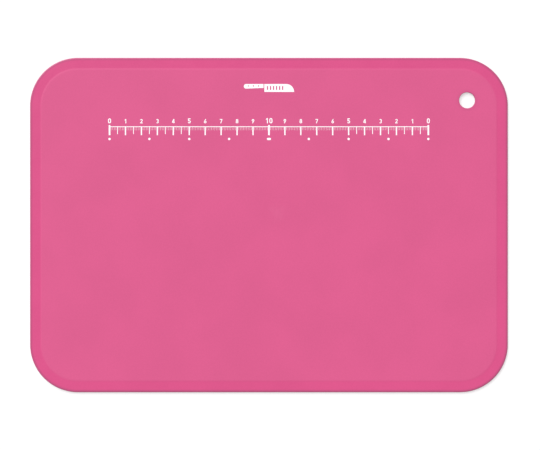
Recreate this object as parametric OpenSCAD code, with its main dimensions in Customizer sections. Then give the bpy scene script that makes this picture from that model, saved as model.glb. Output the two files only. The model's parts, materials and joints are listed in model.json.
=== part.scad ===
// Flexible moulded cutting board with rounded corners, a smooth border round a fine-grained field,
// a hanging hole, and a centimetre scale printed along one long side. Millimetres.
// The origin is the middle of the underside: +X towards the hanging hole, +Y towards the printed
// scale, +Z out of the printed face.

/* [Board] */
// Length of the board along the printed scale
board_l = 300; // [260:1:400]
// Width of the board
board_w = 210; // [180:1:300]
// Thickness over the two grained fields
board_t = 2; // [1.5:0.1:4]
// Radius of the four corners
corner_r = 30; // [15:1:50]

/* [Border] */
// Width of the smooth border
border_w = 6.3; // [3:0.1:10]
// Width of the slope between the border and the field
slope_w = 1.5; // [0.5:0.1:3]
// How much lower the border lies than the field, on each face
border_drop = 0.1; // [0.05:0.05:0.3]

/* [Hanging hole] */
// Radius of the hole
hole_r = 5; // [3:0.5:8]
// Distance from the hole's centre to the end of the board
hole_from_end = 25.6; // [18:0.1:40]
// Distance from the hole's centre to the board's upper side
hole_from_side = 26.7; // [18:0.1:40]
// Radius of the rounding at both rims of the hole
hole_rim_r = 0.3; // [0.1:0.05:0.6]

/* [Printing] */
// Thickness of the printed ink
ink_t = 0.04; // [0.03:0.01:0.1]

/* [Scale] */
// Distance between two numbered ticks
unit = 10; // [8:0.5:12]
// Distance from the board's upper side to the middle of the scale line
scale_from_side = 43.3; // [38:0.1:60]
// Thickness of the scale line
line_t = 0.45; // [0.3:0.05:1]
// Length of the long ticks below the scale line
long_tick_l = 5.1; // [3:0.1:6]
// Width of the ticks at every unit
unit_tick_t = 0.8; // [0.4:0.05:1.2]
// Width of the bold ticks at both ends and in the middle
bold_tick_t = 1.1; // [0.6:0.05:1.8]
// How far the bold ticks rise above the scale line
bold_tick_rise = 0.8; // [0.1:0.1:1.6]
// Length of the half-unit ticks below the scale line
half_tick_l = 4.4; // [2:0.1:5]
// Width of the half-unit ticks
half_tick_t = 0.45; // [0.3:0.05:0.9]
// Number of half-unit ticks at each end of the scale
half_ticks = 5; // [1:1:9]
// Length of the finest ticks, ten to a unit
fine_tick_l = 2; // [1:0.1:3]
// Width of the finest ticks
fine_tick_t = 0.12; // [0.1:0.01:0.3]

/* [Numerals] */
// Height of the numerals
numeral_h = 2.7; // [2:0.1:3.2]
// Height of the bolder numerals, which mark 0 and 5
bold_numeral_h = 3.1; // [2.4:0.1:3.6]
// Height of the numeral 10, in the middle
middle_numeral_h = 3.3; // [2.4:0.1:3.6]
// Gap between the scale line and the numerals
numeral_gap = 1.9; // [1.7:0.1:3]

/* [Quarter marks] */
// Diameter of the round marks at every two and a half units
dot_d = 1.5; // [0.8:0.05:2]
// Length of the oval mark below the middle of the scale
oval_l = 2.6; // [2.1:0.1:4]
// Distance from the scale line to the middle of these marks
dots_below_line = 7.7; // [6.8:0.1:9]

/* [Knife emblem] */
// Overall length of the printed knife
knife_l = 31.6; // [28:0.2:40]
// Depth of the knife's blade
blade_h = 5; // [4:0.1:7]
// Distance from the board's upper side to the middle of the blade
knife_from_side = 19; // [14:0.1:24]

/* [Hidden] */
// Places along the scale: the middle, and the two halves, which mirror each other
PLACES = ["left", "middle", "right"];
HALVES = ["left", "right"];
$fn = 72;

board_colour = [0.878, 0.392, 0.573];
ink_colour = [1, 1, 1];

// The border's own thickness, its round edge, and the flat field inside it
border_t = board_t - 2 * border_drop;
edge_r = border_t / 2;
rim_w = border_w + slope_w;

hole_x = board_l / 2 - hole_from_end;
hole_y = board_w / 2 - hole_from_side;

// Heights across the board
scale_y = board_w / 2 - scale_from_side;
ticks_top = scale_y - line_t / 2;
numerals_bottom = scale_y + line_t / 2 + numeral_gap;
dots_y = scale_y - dots_below_line;
knife_y = board_w / 2 - knife_from_side;

// The scale counts this many units from either end up to the middle
units_each_way = 10;
// A round mark stands at every quarter of a half
quarter = units_each_way / 4;
tenths = 10;

// Numeral proportions, as shares of the height
stroke = 0.185;
digit_w = 0.6;
digit_gap = 0.14;

// Knife proportions
knife_gap = 0.5;
handle_l = 12.4;
handle_h = 2.5;
handle_h_rear = 2.9;
rivet_r = 0.4;
rivet_count = 3;
blade_l = knife_l - handle_l - knife_gap;
hollow_w = 0.75;
hollow_l = 2.6;
hollow_count = 6;
hollow_pitch = 1.9;
hollow_from_heel = 2;

// ---- 2D helpers ----

// Rectangle with round corners
module rounded_plate(l, w, r) {
    square([l - 2 * r, w], center = true);
    square([l, w - 2 * r], center = true);
    for (x = [-1, 1], y = [-1, 1])
        translate([x * (l / 2 - r), y * (w / 2 - r)]) circle(r);
}

// Slot with round ends, upright
module slot(w, l) {
    square([w, l - w], center = true);
    for (side = [-1, 1]) translate([0, side * (l - w) / 2]) circle(w / 2);
}

// Straight stroke of thickness t from one point to another
module bar(from, to, t) {
    run = to - from;
    translate(from) rotate(atan2(run[1], run[0]))
        translate([0, -t / 2]) square([norm(run), t]);
}

// Curved stroke of thickness t round a centre, on the middle radius r, from angle a to angle b
module bow(centre, r, t, a, b) {
    reach = 2 * (r + t);
    step = (b - a) / ceil((b - a) / 60);
    translate(centre) intersection() {
        ring(r, t);
        polygon([[0, 0], for (angle = [a : step : b + step / 2]) reach * [cos(angle), sin(angle)]]);
    }
}

module ring(r, t) {
    difference() {
        circle(r + t / 2);
        circle(r - t / 2);
    }
}

// Direction from a point outside a circle to where its tangent touches, turned by side
function tangent_angle(point, centre, r, side) =
    atan2(centre[1] - point[1], centre[0] - point[0]) + side * asin(r / norm(centre - point));

function tangent_point(point, centre, r, side) =
    point + sqrt(pow(norm(centre - point), 2) - r * r)
        * [cos(tangent_angle(point, centre, r, side)), sin(tangent_angle(point, centre, r, side))];

// ---- Board ----

// Section through the rim, x inwards from the board's outer edge: a round edge, the smooth
// border, and the slope up to the field
module rim_section() {
    translate([edge_r, board_t / 2]) circle(edge_r);
    translate([edge_r, border_drop]) square([rim_w - edge_r, border_t]);
    polygon([[border_w, border_drop], [rim_w, 0], [rim_w, board_t], [border_w, board_t - border_drop]]);
}

module rim_side(length) {
    rotate([90, 0, 0]) linear_extrude(length, center = true) rim_section();
}

module rim_corner() {
    rotate_extrude(angle = 90) translate([corner_r, 0]) mirror([1, 0]) rim_section();
}

// What the hanging hole takes away: a straight bore with a rounded rim on both faces
module hole_cutter() {
    rotate_extrude() {
        translate([0, -1]) square([hole_r, board_t + 2]);
        for (face = [0, 1]) translate([0, face * board_t]) mirror([0, face]) difference() {
            translate([0, -1]) square([hole_r + hole_rim_r, 1 + hole_rim_r]);
            translate([hole_r + hole_rim_r, hole_rim_r]) circle(hole_rim_r);
        }
    }
}

module board() {
    straight = [board_l - 2 * corner_r, board_w - 2 * corner_r];
    color(board_colour) difference() {
        union() {
            linear_extrude(board_t)
                rounded_plate(board_l - 2 * rim_w, board_w - 2 * rim_w, corner_r - rim_w);
            for (side = [0, 180]) rotate(side) {
                translate([-board_l / 2, 0, 0]) rim_side(straight[1]);
                translate([0, -board_w / 2, 0]) rotate(90) rim_side(straight[0]);
                translate([straight[0] / 2, straight[1] / 2, 0]) rim_corner();
                translate([-straight[0] / 2, straight[1] / 2, 0]) rotate(90) rim_corner();
            }
        }
        translate([hole_x, hole_y, 0]) hole_cutter();
    }
}

// ---- Printing ----

// Everything printed lies on the upper field
module ink() {
    color(ink_colour) translate([0, 0, board_t]) linear_extrude(ink_t) children();
}

// Which way a place lies from the middle of the scale
function way(place) = place == "left" ? -1 : place == "right" ? 1 : 0;

// Place on the scale where the count from that end is n
module at_count(n, place) {
    translate([way(place) * (units_each_way - n) * unit, 0]) children();
}

// Tick that hangs from the lower edge of the scale line
module tick(width, length) {
    translate([-width / 2, ticks_top - length]) square([width, length]);
}

// The line fills the stretch between two bold ticks
module scale_line(half) {
    length = units_each_way * unit - bold_tick_t;
    ink() at_count(units_each_way / 2, half) translate([-length / 2, ticks_top])
        square([length, line_t]);
}

// At both zeros and in the middle, through the line and above it
module bold_tick(place) {
    ink() at_count(0, place) translate([-bold_tick_t / 2, ticks_top - long_tick_l])
        square([bold_tick_t, long_tick_l + line_t + bold_tick_rise]);
}

module unit_ticks(half) {
    ink() for (n = [1 : units_each_way - 1]) at_count(n, half) tick(unit_tick_t, long_tick_l);
}

module half_unit_ticks(half) {
    ink() for (n = [1 : half_ticks]) at_count(n - 0.5, half) tick(half_tick_t, half_tick_l);
}

// Ten to a unit, but none where a longer tick stands
module fine_ticks(half) {
    ink() for (i = [1 : units_each_way * tenths - 1]) {
        at_unit_tick = i % tenths == 0;
        at_half_tick = i % tenths == tenths / 2 && i < half_ticks * tenths;
        if (!at_unit_tick && !at_half_tick) at_count(i / tenths, half) tick(fine_tick_t, fine_tick_l);
    }
}

// ---- Numerals ----
// Each digit stands on y = 0, is h high and digit_w * h wide, and starts at x = 0.

module digit_0(h) {
    t = stroke * h;
    r = digit_w * h / 2 - t / 2;
    x = digit_w * h / 2;
    top = h - digit_w * h / 2;
    bow([x, top], r, t, 0, 180);
    bow([x, h - top], r, t, 180, 360);
    for (side = [-1, 1]) bar([x + side * r, h - top], [x + side * r, top], t);
}

module digit_1(h) {
    t = stroke * h;
    x = 0.38 * h;
    polygon([
        [x - t / 2, 0], [x + t / 2, 0], [x + t / 2, h], [x - t / 4, h],
        [0.1 * h, 0.84 * h], [0.1 * h, 0.63 * h], [x - t / 2, 0.76 * h],
    ]);
}

module digit_2(h) {
    t = stroke * h;
    r = digit_w * h / 2 - t / 2;
    c = [digit_w * h / 2, h - digit_w * h / 2];
    foot = [0.4 * t, t / 2];
    touch = tangent_point(foot, c, r, -1);
    bow(c, r, t, tangent_angle(foot, c, r, -1) - 90, 170);
    bar(foot, touch, t);
    bar([0, t / 2], [digit_w * h, t / 2], t);
}

module digit_3(h) {
    t = stroke * h;
    r = (h - t) / 4;
    x = digit_w * h - r - t / 2;
    bow([x, h - r - t / 2], r, t, -90, 155);
    bow([x, r + t / 2], r, t, -155, 90);
}

module digit_4(h) {
    t = stroke * h;
    x = 0.44 * h;
    y = 0.25 * h;
    difference() {
        polygon([
            [0, y - t / 2], [x - t / 2, y - t / 2], [x - t / 2, 0], [x + t / 2, 0],
            [x + t / 2, y - t / 2], [0.62 * h, y - t / 2], [0.62 * h, y + t / 2],
            [x + t / 2, y + t / 2], [x + t / 2, h], [x - 0.6 * t, h], [0, y + 0.6 * t],
        ]);
        polygon([[1.08 * t, y + t / 2], [x - t / 2, y + t / 2], [x - t / 2, 0.63 * h]]);
    }
}

module digit_5(h) {
    t = stroke * h;
    r = 0.31 * h - t / 2;
    c = [digit_w * h - r - t / 2, r + t / 2];
    bow(c, r, t, -150, 140);
    bar([0.06 * h, h - t / 2], [0.57 * h, h - t / 2], t);
    bar([0.06 * h + t / 2, 0.42 * h], [0.06 * h + t / 2, h], t);
}

module digit_6(h) {
    t = stroke * h;
    r = digit_w * h / 2 - t / 2;
    c = [digit_w * h / 2, r + t / 2];
    tip = [0.5 * h, 1.1 * h];
    ring_at(c, r, t);
    intersection() {
        bar(tangent_point(tip, c, r, -1), tip, t);
        square([digit_w * h, h]);
    }
}

module digit_7(h) {
    t = stroke * h;
    bar([0, h - t / 2], [digit_w * h, h - t / 2], t);
    intersection() {
        bar([0.17 * h, -0.1 * h], [digit_w * h - 0.4 * t, h - 0.3 * t], t);
        square([digit_w * h, h - t / 2]);
    }
}

module digit_8(h) {
    t = stroke * h;
    r_low = 0.31 * h - t / 2;
    r_high = (h - t) / 2 - r_low;
    ring_at([digit_w * h / 2, r_low + t / 2], r_low, t);
    ring_at([digit_w * h / 2, h - r_high - t / 2], r_high, t);
}

module digit_9(h) {
    translate([digit_w * h, h]) rotate(180) digit_6(h);
}

module ring_at(centre, r, t) {
    translate(centre) ring(r, t);
}

module digit(d, h) {
    if (d == 0) digit_0(h);
    if (d == 1) digit_1(h);
    if (d == 2) digit_2(h);
    if (d == 3) digit_3(h);
    if (d == 4) digit_4(h);
    if (d == 5) digit_5(h);
    if (d == 6) digit_6(h);
    if (d == 7) digit_7(h);
    if (d == 8) digit_8(h);
    if (d == 9) digit_9(h);
}

// A whole number with one or two digits, centred on x = 0
module number(n, h) {
    pitch = (digit_w + digit_gap) * h;
    digits = n < 10 ? [n] : [floor(n / 10), n % 10];
    for (i = [0 : len(digits) - 1])
        translate([(i - (len(digits) - 1) / 2) * pitch - digit_w * h / 2, 0]) digit(digits[i], h);
}

// The scale counts up to the middle and down again
module numeral(n, place) {
    h = n == units_each_way ? middle_numeral_h : n % 5 == 0 ? bold_numeral_h : numeral_h;
    ink() at_count(n, place) translate([0, numerals_bottom]) number(n, h);
}

// ---- Marks below the scale ----

// Counted from the zero, where the first one stands
module quarter_dot(i, half) {
    ink() at_count((i - 1) * quarter, half) translate([0, dots_y]) circle(dot_d / 2);
}

module middle_oval() {
    ink() translate([0, dots_y]) rotate(90) slot(dot_d, oval_l);
}

// ---- Knife emblem ----

// Straight cutting edge below, and a spine that turns down to the tip in a quarter circle
module knife_blade() {
    ink() translate([knife_l / 2 - blade_l, knife_y - blade_h / 2]) difference() {
        union() {
            square([blade_l - blade_h, blade_h]);
            intersection() {
                translate([blade_l - blade_h, 0]) circle(blade_h);
                translate([blade_l - blade_h, 0]) square(blade_h);
            }
        }
        for (i = [0 : hollow_count - 1])
            translate([hollow_from_heel + i * hollow_pitch, blade_h / 2]) slot(hollow_w, hollow_l);
    }
}

module knife_handle() {
    ink() translate([-knife_l / 2, knife_y + blade_h / 2]) difference() {
        union() {
            translate([handle_h_rear / 2, -handle_h_rear / 2]) circle(handle_h_rear / 2);
            polygon([
                [handle_h_rear / 2, 0], [handle_h_rear / 2, -handle_h_rear],
                [handle_l, -handle_h], [handle_l, 0],
            ]);
        }
        for (i = [0 : rivet_count - 1])
            translate([handle_h_rear + i * (handle_l - handle_h_rear) / rivet_count, -handle_h / 2])
                circle(rivet_r);
    }
}

board();
for (place = PLACES) bold_tick(place);
for (half = HALVES) {
    scale_line(half);
    unit_ticks(half);
    half_unit_ticks(half);
    fine_ticks(half);
    for (n = [0 : 9]) numeral(n, half);
    for (i = [1 : 4]) quarter_dot(i, half);
}
numeral(units_each_way, "middle");  // numeral_10
middle_oval();
knife_blade();
knife_handle();
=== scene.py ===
import json
import math

import bpy
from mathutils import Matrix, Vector
from mathutils.geometry import delaunay_2d_cdt


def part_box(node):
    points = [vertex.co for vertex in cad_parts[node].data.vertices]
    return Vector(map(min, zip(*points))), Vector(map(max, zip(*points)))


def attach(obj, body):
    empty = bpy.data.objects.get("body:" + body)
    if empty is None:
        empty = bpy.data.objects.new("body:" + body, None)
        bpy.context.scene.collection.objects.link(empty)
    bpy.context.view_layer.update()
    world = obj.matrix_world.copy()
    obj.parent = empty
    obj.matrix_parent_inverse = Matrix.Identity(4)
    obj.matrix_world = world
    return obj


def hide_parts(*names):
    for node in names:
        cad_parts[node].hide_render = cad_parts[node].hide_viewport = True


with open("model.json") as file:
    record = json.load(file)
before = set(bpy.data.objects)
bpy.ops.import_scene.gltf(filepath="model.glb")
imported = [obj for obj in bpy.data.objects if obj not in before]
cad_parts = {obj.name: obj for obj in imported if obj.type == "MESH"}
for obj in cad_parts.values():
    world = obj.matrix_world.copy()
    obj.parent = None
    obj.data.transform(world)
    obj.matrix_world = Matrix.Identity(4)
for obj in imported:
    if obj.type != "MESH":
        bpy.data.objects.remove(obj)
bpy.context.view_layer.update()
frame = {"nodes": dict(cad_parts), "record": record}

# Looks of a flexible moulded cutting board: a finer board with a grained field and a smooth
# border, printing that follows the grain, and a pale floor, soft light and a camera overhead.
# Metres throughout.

MM = 0.001

# ---- What the frame says ----

BOARD_LOW, BOARD_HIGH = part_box("board")
HALF_LENGTH = (BOARD_HIGH.x - BOARD_LOW.x) / 2
HALF_WIDTH = (BOARD_HIGH.y - BOARD_LOW.y) / 2
THICKNESS = BOARD_HIGH.z - BOARD_LOW.z
MOUNTS = {mount["name"]: mount for mount in frame["record"]["mounts"]}
HOLE_AT = Vector(MOUNTS["hanging_hole"]["pos_m"][:2])
HOLE_R = MOUNTS["hanging_hole"]["dims"]["r_mm"] * MM

# ---- The board's section, as in the CAD ----

CORNER_R = 30 * MM
BORDER_W = 6.3 * MM
SLOPE_W = 1.5 * MM
BORDER_DROP = 0.1 * MM
HOLE_RIM_R = 0.3 * MM

# ---- Painted shade: where the colour is darkened ----

# Painted shade, all of it where the moulding's edge turns under, down to none this far in
EDGE_SHADE_W = 2.0 * MM
# A faint share of the painted shade on the field round the hole, down to none this far out
HOLE_SHADE = 0.35
HOLE_SHADE_W = 2.6 * MM
FLAT_FROM = HOLE_R + HOLE_SHADE_W

# ---- Mesh steps ----

CORNER_STEPS = 32
LENGTH_STEPS = 30
WIDTH_STEPS = 18
EDGE_STEPS = 12
SLOPE_STEPS = 8
HOLE_STEPS = 96
RIM_STEPS = 6
SHADE_STEPS = 4
GRID_PITCH = 6 * MM
GRID_CLEARANCE = 2 * MM
# Extra loops this far from each bend keep the flats flat to the light
SUPPORT = 0.12 * MM

# ---- Colours, linear ----

FIELD_COLOUR = (0.602, 0.0850, 0.2220, 1)
BORDER_COLOUR = (0.605, 0.0730, 0.212, 1)
# Painted shade for the rounded outer edge and the bore
EDGE_SHADE_COLOUR = (0.450, 0.070, 0.178, 1)
BLUSH_COLOUR = (0.640, 0.130, 0.270, 1)
INK_COLOUR = (0.90, 0.86, 0.88, 1)
THIN_INK_COLOUR = (0.87, 0.74, 0.80, 1)
FLOOR_COLOUR = (0.50, 0.50, 0.50, 1)
# The floor glows a little, as a lit sweep does, so that shadows on it stay pale
FLOOR_GLOW = 0.47

# ---- Surface detail ----

# The fine texture breaks up much of the reflection
ELASTOMER_SPECULAR = 0.28
# Lowest and highest roughness
FIELD_ROUGHNESS = (0.52, 0.62)
BORDER_ROUGHNESS = (0.28, 0.34)
INK_ROUGHNESS = (0.42, 0.55)
FLOOR_ROUGHNESS = 0.9
GRAIN_SIZE = 0.7 * MM
GRAIN_DEPTH = 0.03 * MM
# How strongly the grain shows
FIELD_GRAIN = 0.55
BORDER_GRAIN = 0.06
INK_GRAIN = 0.35
# Patches where the ink lies thin
THIN_INK_SIZE = 0.5 * MM
MOTTLE_SIZE = 38 * MM
# Nearly all of a noise lies between these
NOISE_LOW, NOISE_HIGH = 0.3, 0.7
# The lighter patch over the injection gate, near the middle
BLUSH_AT = Vector((5.3 * MM, 7.6 * MM, THICKNESS))
BLUSH_R = 9 * MM
BLUSH_RAGGED = 5 * MM
BLUSH_STRENGTH = 0.22

# ---- Studio ----

FLOOR_REACH = 6.0
FLOOR_DROP = 0.02 * MM
# The sky is palest up to the first height and dimmest from the second on, as shares of the way up
SKY_HEIGHTS = (0.08, 0.45)
SKY_STRENGTHS = (1.08, 0.45)

# ---- Camera ----

LENS = 100.0
SENSOR = 36.0
VIEW_WIDTH = 338.8 * MM
VIEW_CENTRE = Vector((0.66 * MM, 0.03 * MM))


# ---- Geometry ----

def smoothstep(share):
    return share * share * (3 - 2 * share)


def fade(value, start, end):
    """1 up to start, 0 from end on, smooth in between."""
    return 1 - smoothstep(min(1, max(0, (value - start) / (end - start))))


def rim_section():
    """(distance in from the edge, height) from the edge's middle up and in to the field."""
    border_z = THICKNESS - BORDER_DROP
    edge_r = THICKNESS / 2 - BORDER_DROP
    points = []
    for i in range(EDGE_STEPS + 1):
        turn = math.pi / 2 * i / EDGE_STEPS
        points.append((edge_r * (1 - math.cos(turn)), THICKNESS / 2 + edge_r * math.sin(turn)))
    points += [(edge_r + SUPPORT, border_z), (EDGE_SHADE_W, border_z), (BORDER_W - SUPPORT, border_z)]
    for i in range(SLOPE_STEPS + 1):
        share = i / SLOPE_STEPS
        points.append((BORDER_W + share * SLOPE_W, border_z + BORDER_DROP * smoothstep(share)))
    points.append((BORDER_W + SLOPE_W + SUPPORT, THICKNESS))
    return points


def hole_section():
    """(radius, height) from the middle of the bore up and out to the field."""
    points = [(HOLE_R, THICKNESS / 2), (HOLE_R, THICKNESS - HOLE_RIM_R - SUPPORT)]
    for i in range(RIM_STEPS + 1):
        turn = math.pi / 2 * i / RIM_STEPS
        radius = HOLE_R + HOLE_RIM_R * (1 - math.cos(turn))
        points.append((radius, THICKNESS - HOLE_RIM_R * (1 - math.sin(turn))))
    for i in range(SHADE_STEPS + 1):
        share = i / SHADE_STEPS
        radius = HOLE_R + HOLE_RIM_R + SUPPORT + share * (HOLE_SHADE_W - HOLE_RIM_R - SUPPORT)
        points.append((radius, THICKNESS))
    return points


def outline():
    """(corner-centre point, outward direction) pairs, anticlockwise round the board."""
    ax, ay = HALF_LENGTH - CORNER_R, HALF_WIDTH - CORNER_R
    corners = [Vector((ax, ay)), Vector((-ax, ay)), Vector((-ax, -ay)), Vector((ax, -ay))]
    sides = [LENGTH_STEPS, WIDTH_STEPS, LENGTH_STEPS, WIDTH_STEPS]
    pairs = []
    for c in range(4):
        for i in range(CORNER_STEPS + 1):
            turn = math.pi / 2 * (c + i / CORNER_STEPS)
            pairs.append((corners[c], Vector((math.cos(turn), math.sin(turn)))))
        for i in range(1, sides[c]):
            between = corners[c].lerp(corners[(c + 1) % 4], i / sides[c])
            pairs.append((between, pairs[-1][1]))
    return pairs


def circle(radius):
    turns = [2 * math.pi * i / HOLE_STEPS for i in range(HOLE_STEPS)]
    return [HOLE_AT + radius * Vector((math.cos(turn), math.sin(turn))) for turn in turns]


def whole_section(upper):
    """The upper half of a section, and its mirror image below the board's middle plane."""
    lower = [(place, THICKNESS - z) for place, z in upper[1:]]
    return upper[::-1] + lower


def grid_points():
    """Points inside the flat field, clear of the rim and of the hole."""
    ax, ay = HALF_LENGTH - CORNER_R, HALF_WIDTH - CORNER_R
    found = []
    for i in range(-int(HALF_LENGTH / GRID_PITCH), int(HALF_LENGTH / GRID_PITCH) + 1):
        for j in range(-int(HALF_WIDTH / GRID_PITCH), int(HALF_WIDTH / GRID_PITCH) + 1):
            at = Vector((i * GRID_PITCH, j * GRID_PITCH))
            beyond = Vector((max(abs(at.x) - ax, 0), max(abs(at.y) - ay, 0)))
            in_rim = CORNER_R - beyond.length < BORDER_W + SLOPE_W + GRID_CLEARANCE
            if not in_rim and (at - HOLE_AT).length > FLAT_FROM + GRID_CLEARANCE:
                found.append(at)
    return found


class BoardMesh:
    """Vertices with their heights and surface weights, and the faces between them."""

    def __init__(self):
        self.points, self.faces, self.deep, self.smooth = [], [], [], []

    def add_ring(self, flat, z, deep, smooth):
        first = len(self.points)
        self.points += [(p.x, p.y, z) for p in flat]
        self.deep += [deep] * len(flat)
        self.smooth += [smooth] * len(flat)
        return list(range(first, first + len(flat)))

    def join(self, ring_a, ring_b):
        for i in range(len(ring_a)):
            j = (i + 1) % len(ring_a)
            self.faces.append((ring_a[i], ring_b[i], ring_b[j], ring_a[j]))

    def loft(self, rings):
        for ring_a, ring_b in zip(rings, rings[1:]):
            self.join(ring_a, ring_b)

    def fill(self, outer, inner, z, upwards):
        """Even triangles over the field between the rim's ring and the hole's ring."""
        grid = self.add_ring(grid_points(), z, 0, 0)
        used = outer + inner + grid
        loops = [range(len(outer)), range(len(outer), len(outer) + len(inner))]
        edges = [(loop[i], loop[(i + 1) % len(loop)]) for loop in loops for i in range(len(loop))]
        flat = [Vector(self.points[v][:2]) for v in used]
        found = delaunay_2d_cdt(flat, edges, [], 1, 1e-9, True)
        origin = [used[ids[0]] for ids in found[3]]
        for face in found[2]:
            middle = sum((found[0][v] for v in face), Vector((0, 0))) / len(face)
            if (middle - HOLE_AT).length > FLAT_FROM:
                corners = [origin[v] for v in face]
                self.faces.append(tuple(corners if upwards else corners[::-1]))


def hole_shade(away):
    """How much painted shade darkens the colour at a distance from the bore: full in it, faint round
    it.
    """
    in_bore = fade(away, HOLE_RIM_R / 3, HOLE_RIM_R)
    around = fade(away, HOLE_RIM_R, HOLE_SHADE_W)
    return (1 - HOLE_SHADE) * in_bore + HOLE_SHADE * around


def board_mesh():
    made = BoardMesh()
    pairs = outline()
    rim = []
    for inwards, z in whole_section(rim_section()):
        flat = [base + direction * (CORNER_R - inwards) for base, direction in pairs]
        # Painted shade on the edge's turn, fading out across the border
        deep = fade(inwards, EDGE_SHADE_W / 3, EDGE_SHADE_W)
        smooth = fade(inwards, BORDER_W, BORDER_W + SLOPE_W)
        rim.append(made.add_ring(flat, z, deep, smooth))
    bore = []
    for radius, z in whole_section(hole_section()):
        # Painted shade in the bore and faintly on the field round it
        deep = hole_shade(radius - HOLE_R)
        smooth = fade(radius - HOLE_R, HOLE_RIM_R / 2, HOLE_RIM_R + SUPPORT)
        bore.append(made.add_ring(circle(radius), z, deep, smooth))
    made.loft(rim)
    made.loft([ring[::-1] for ring in bore])
    made.fill(rim[0], bore[0], THICKNESS, True)
    made.fill(rim[-1], bore[-1], 0, False)
    return made


def store(mesh, name, values):
    mesh.attributes.new(name, "FLOAT", "POINT").data.foreach_set("value", values)


def make_board(material):
    made = board_mesh()
    mesh = bpy.data.meshes.new("cutting_board")
    mesh.from_pydata(made.points, [], made.faces)
    mesh.shade_smooth()
    store(mesh, "deep", made.deep)
    store(mesh, "smooth", made.smooth)
    mesh.materials.append(material)
    board = bpy.data.objects.new("cutting_board", mesh)
    bpy.context.scene.collection.objects.link(board)
    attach(board, "root")
    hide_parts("board")


# ---- Material helpers ----

def new_material(name):
    """A node tree with its principled shader, which drives the surface."""
    material = bpy.data.materials.new(name)
    material.use_nodes = True
    return material, material.node_tree, material.node_tree.nodes["Principled BSDF"]


def put(tree, socket, value):
    """Links a socket to another, or sets its value."""
    if isinstance(value, bpy.types.NodeSocket):
        tree.links.new(value, socket)
    else:
        socket.default_value = value


def add(tree, kind, inputs, **settings):
    """A new node with its settings and inputs, by name or number."""
    made = tree.nodes.new(kind)
    for name, value in settings.items():
        setattr(made, name, value)
    for key, value in inputs.items():
        put(tree, made.inputs[key], value)
    return made


def maths(tree, operation, a, b=0.0):
    return add(tree, "ShaderNodeMath", {0: a, 1: b}, operation=operation).outputs[0]


def mix_colours(tree, factor, a, b):
    made = add(tree, "ShaderNodeMix", {0: factor, 6: a, 7: b}, data_type="RGBA")
    return made.outputs[2]


def map_range(tree, value, from_low, from_high, to_low, to_high):
    inputs = {0: value, 1: from_low, 2: from_high, 3: to_low, 4: to_high}
    return add(tree, "ShaderNodeMapRange", inputs, interpolation_type="SMOOTHSTEP").outputs[0]


def place(tree):
    return tree.nodes.new("ShaderNodeTexCoord").outputs["Object"]


def weight(tree, name):
    made = tree.nodes.new("ShaderNodeAttribute")
    made.attribute_name = name
    return made.outputs["Fac"]


def noise(tree, at, size, detail=2.0):
    inputs = {"Vector": at, "Scale": 1 / size, "Detail": detail}
    return add(tree, "ShaderNodeTexNoise", inputs).outputs["Fac"]


def varied(tree, fac, low, high):
    """A noise spread from low to high."""
    return map_range(tree, fac, NOISE_LOW, NOISE_HIGH, low, high)


def grain_height(tree, at):
    """Fine pebbled grain, as a mould's spark-eroded face leaves it."""
    inputs = {"Vector": at, "Scale": 1 / GRAIN_SIZE, "Smoothness": 0.6}
    pebbles = add(tree, "ShaderNodeTexVoronoi", inputs, feature="SMOOTH_F1").outputs["Distance"]
    return maths(tree, "ADD", pebbles, maths(tree, "MULTIPLY", noise(tree, at, GRAIN_SIZE / 2), 0.6))


def bump(tree, height, strength):
    inputs = {"Height": height, "Strength": strength, "Distance": GRAIN_DEPTH}
    return add(tree, "ShaderNodeBump", inputs).outputs["Normal"]


# ---- Materials ----

def elastomer():
    material, tree, shader = new_material("pink_elastomer")
    at = place(tree)
    smooth, deep = weight(tree, "smooth"), weight(tree, "deep")
    colour = mix_colours(tree, smooth, FIELD_COLOUR, BORDER_COLOUR)
    colour = mix_colours(tree, gate_blush(tree, at), colour, BLUSH_COLOUR)
    # Painted shade darkens the rounded outer edge, the bore and the field round the hole
    colour = mix_colours(tree, deep, colour, EDGE_SHADE_COLOUR)
    put(tree, shader.inputs["Base Color"], mottled(tree, at, colour))
    rough = varied(tree, noise(tree, at, GRAIN_SIZE, 3.0), *FIELD_ROUGHNESS)
    polished = varied(tree, noise(tree, at, MOTTLE_SIZE / 4), *BORDER_ROUGHNESS)
    roughness = maths(tree, "MULTIPLY", smooth, maths(tree, "SUBTRACT", polished, rough))
    put(tree, shader.inputs["Roughness"], maths(tree, "ADD", rough, roughness))
    strength = map_range(tree, smooth, 0.0, 1.0, FIELD_GRAIN, BORDER_GRAIN)
    put(tree, shader.inputs["Normal"], bump(tree, grain_height(tree, at), strength))
    put(tree, shader.inputs["Specular IOR Level"], ELASTOMER_SPECULAR)
    return material


def gate_blush(tree, at):
    """How much of the lighter patch shows: ragged, and strongest over the gate."""
    away = add(tree, "ShaderNodeVectorMath", {0: at, 1: BLUSH_AT}, operation="DISTANCE")
    ragged = maths(tree, "MULTIPLY", noise(tree, at, BLUSH_RAGGED, 3.0), 1.4 * BLUSH_R)
    reach = maths(tree, "ADD", away.outputs["Value"], ragged)
    return map_range(tree, reach, 0.5 * BLUSH_R, 1.6 * BLUSH_R, BLUSH_STRENGTH, 0.0)


def mottled(tree, at, colour):
    """The faint unevenness of pigment in a moulding."""
    cloud = varied(tree, noise(tree, at, MOTTLE_SIZE, 4.0), 0.975, 1.02)
    speck = varied(tree, noise(tree, at, GRAIN_SIZE * 1.5), 0.985, 1.015)
    scale = maths(tree, "MULTIPLY", cloud, speck)
    inputs = {0: colour, "Scale": scale}
    return add(tree, "ShaderNodeVectorMath", inputs, operation="SCALE").outputs["Vector"]


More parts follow.
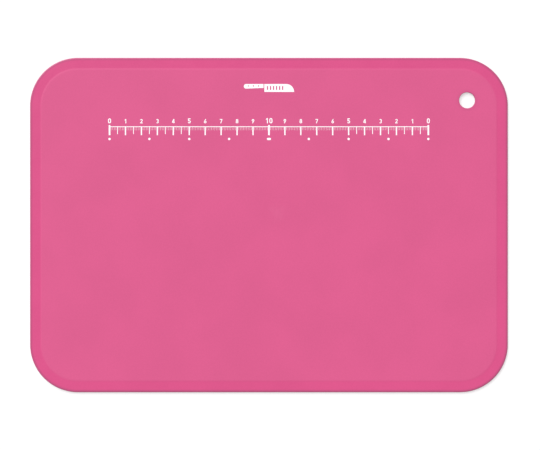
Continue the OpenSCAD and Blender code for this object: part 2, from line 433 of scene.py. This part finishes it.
def ink():
    material, tree, shader = new_material("white_ink")
    at = place(tree)
    thin = map_range(tree, noise(tree, at, THIN_INK_SIZE, 3.0), 0.58, 0.75, 0.0, 1.0)
    put(tree, shader.inputs["Base Color"], mix_colours(tree, thin, INK_COLOUR, THIN_INK_COLOUR))
    rough = varied(tree, noise(tree, at, GRAIN_SIZE), *INK_ROUGHNESS)
    put(tree, shader.inputs["Roughness"], rough)
    put(tree, shader.inputs["Normal"], bump(tree, grain_height(tree, at), INK_GRAIN))
    return material


def floor_paint():
    material, tree, shader = new_material("floor_paint")
    put(tree, shader.inputs["Base Color"], FLOOR_COLOUR)
    put(tree, shader.inputs["Roughness"], FLOOR_ROUGHNESS)
    put(tree, shader.inputs["Specular IOR Level"], 0.0)
    put(tree, shader.inputs["Emission Color"], (1, 1, 1, 1))
    put(tree, shader.inputs["Emission Strength"], FLOOR_GLOW)
    return material


# ---- Printing ----

def paint_printing(material):
    for name, piece in frame["nodes"].items():
        if name != "board":
            piece.data.materials.clear()
            piece.data.materials.append(material)


# ---- Floor, lights and camera ----

def make_floor():
    signs = [(-1, -1), (1, -1), (1, 1), (-1, 1)]
    corners = [(x * FLOOR_REACH, y * FLOOR_REACH, -FLOOR_DROP) for x, y in signs]
    mesh = bpy.data.meshes.new("floor")
    mesh.from_pydata(corners, [], [(0, 1, 2, 3)])
    mesh.materials.append(floor_paint())
    floor = bpy.data.objects.new("floor", mesh)
    bpy.context.scene.collection.objects.link(floor)


def make_sky():
    """Pale near the horizon, as the floor is, and dimmer overhead."""
    world = bpy.data.worlds.new("studio")
    world.use_nodes = True
    tree = world.node_tree
    direction = tree.nodes.new("ShaderNodeTexCoord").outputs["Generated"]
    up = add(tree, "ShaderNodeSeparateXYZ", {0: direction}).outputs["Z"]
    strength = map_range(tree, up, *SKY_HEIGHTS, *SKY_STRENGTHS)
    put(tree, tree.nodes["Background"].inputs["Color"], (1, 1, 1, 1))
    put(tree, tree.nodes["Background"].inputs["Strength"], strength)
    bpy.context.scene.world = world


def make_sun(name, azimuth, elevation, spread, strength):
    """A soft distant light; azimuth is anticlockwise from +X, in degrees."""
    light = bpy.data.lights.new(name, "SUN")
    light.energy = strength
    light.angle = math.radians(spread)
    sun = bpy.data.objects.new(name, light)
    a, e = math.radians(azimuth), math.radians(elevation)
    towards = Vector((math.cos(a) * math.cos(e), math.sin(a) * math.cos(e), math.sin(e)))
    sun.rotation_mode = "QUATERNION"
    sun.rotation_quaternion = towards.to_track_quat("Z", "Y")
    bpy.context.scene.collection.objects.link(sun)


def make_camera():
    data = bpy.data.cameras.new("camera")
    data.lens = LENS
    data.sensor_width = SENSOR
    data.clip_start, data.clip_end = 0.01, 20.0
    camera = bpy.data.objects.new("camera", data)
    camera.location = (*VIEW_CENTRE, THICKNESS + VIEW_WIDTH * LENS / SENSOR)
    bpy.context.scene.collection.objects.link(camera)
    bpy.context.scene.camera = camera


bpy.context.scene.view_settings.view_transform = "Standard"
make_camera()
make_board(elastomer())
paint_printing(ink())
make_floor()
make_sky()
make_sun("key", azimuth=125, elevation=45, spread=50, strength=3.25)
